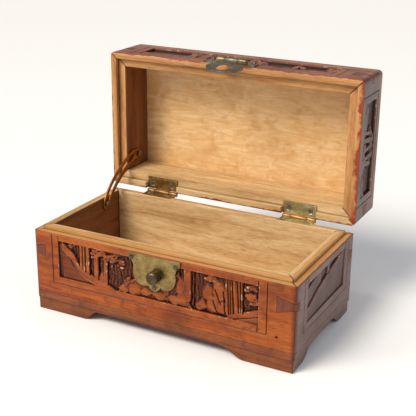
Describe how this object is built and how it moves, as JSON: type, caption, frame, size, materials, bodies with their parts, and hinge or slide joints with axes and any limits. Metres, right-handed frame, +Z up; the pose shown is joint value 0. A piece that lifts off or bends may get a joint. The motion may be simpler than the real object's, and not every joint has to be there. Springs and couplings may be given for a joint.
{
  "type": "jewelry box",
  "caption": "Rectangular carved wooden jewelry box on a footed plinth, with a hinged lid held open by a slotted brass stay and closed by a hasp over a turned post.",
  "frame": {"origin": "centre of the bounding box of the open box, on the surface it stands on", "axes": "+X to the right along the front, +Y towards the hinged back, +Z up"},
  "size_m": [0.295, 0.228, 0.2575],
  "materials": {
    "stained_wood": "red-brown stain over carved camphor wood, worn satin varnish",
    "plinth_wood": "dark red-brown stain, worn satin varnish",
    "lid_wood": "red-brown stain outside, bare pale camphor wood inside",
    "pale_wood": "bare camphor wood with straight grain",
    "key_wood": "dark end-grain keys",
    "aged_brass": "aged sheet brass, dulled and spotted",
    "bright_brass": "rubbed brass",
    "steel": "plain steel, dulled"
  },
  "bodies": {
    "base": {"base_front_wall": "stained_wood", "base_right_wall": "stained_wood", "base_back_wall": "stained_wood", "base_left_wall": "stained_wood", "base_floor": "pale_wood", "plinth_front": "plinth_wood", "plinth_right": "plinth_wood", "plinth_back": "plinth_wood", "plinth_left": "plinth_wood", "base_key_front_left": "key_wood", "base_key_front_right": "key_wood", "base_key_back_right": "key_wood", "base_key_back_left": "key_wood", "hinge_left_base_leaf": "aged_brass", "hinge_left_pin": "bright_brass", "hinge_left_base_screw_outer": "steel", "hinge_left_base_screw_inner": "steel", "hinge_right_base_leaf": "aged_brass", "hinge_right_pin": "bright_brass", "hinge_right_base_screw_outer": "steel", "hinge_right_base_screw_inner": "steel", "lock_plate": "aged_brass", "lock_post": "steel", "lock_plate_pin_left": "bright_brass", "lock_plate_pin_right": "bright_brass", "lock_plate_pin_bottom": "bright_brass", "stay_guide_screw": "steel"},
    "lid": {"lid_front_wall": "lid_wood", "lid_right_wall": "lid_wood", "lid_back_wall": "lid_wood", "lid_left_wall": "lid_wood", "lid_top": "lid_wood", "lid_key_front_left": "key_wood", "lid_key_front_right": "key_wood", "lid_key_back_right": "key_wood", "lid_key_back_left": "key_wood", "hinge_left_lid_leaf": "aged_brass", "hinge_left_lid_screw_outer": "steel", "hinge_left_lid_screw_inner": "steel", "hinge_right_lid_leaf": "aged_brass", "hinge_right_lid_screw_outer": "steel", "hinge_right_lid_screw_inner": "steel", "stay_pivot_screw": "steel", "hasp_plate": "aged_brass", "hasp_plate_pin_left": "bright_brass", "hasp_plate_pin_right": "bright_brass"},
    "stay": {"stay_arm": "aged_brass"},
    "hasp_pin": {"hasp_pin": "bright_brass"},
    "hasp_flap": {"hasp_flap": "aged_brass"}
  },
  "joints": [
    {"name": "lid_hinge", "type": "hinge", "parent": "base", "child": "lid", "pos_m": [0, 0.057, 0.0935], "axis": [1, 0, 0], "range_deg": [0, 90]},
    {"name": "stay_pivot", "type": "hinge", "parent": "lid", "child": "stay", "pos_m": [-0.13045, 0.0809, 0.1265], "axis": [1, 0, 0], "range_deg": [-36, 0]},
    {"name": "hasp_swing", "type": "hinge", "parent": "lid", "child": "hasp_pin", "pos_m": [0.0026, 0.0544, 0.2542], "axis": [1, 0, 0], "range_deg": [-110, 48]},
    {"name": "hasp_lift", "type": "hinge", "parent": "hasp_pin", "child": "hasp_flap", "pos_m": [0.0026, 0.0544, 0.2542], "axis": [1, 0, 0], "range_deg": [-60, 0]}
  ],
  "couplings": [
    {"joint": "stay_pivot", "follows": "lid_hinge", "ratio": -0.39},
    {"joint": "hasp_lift", "follows": "lid_hinge", "ratio": -0.6666}
  ]
}
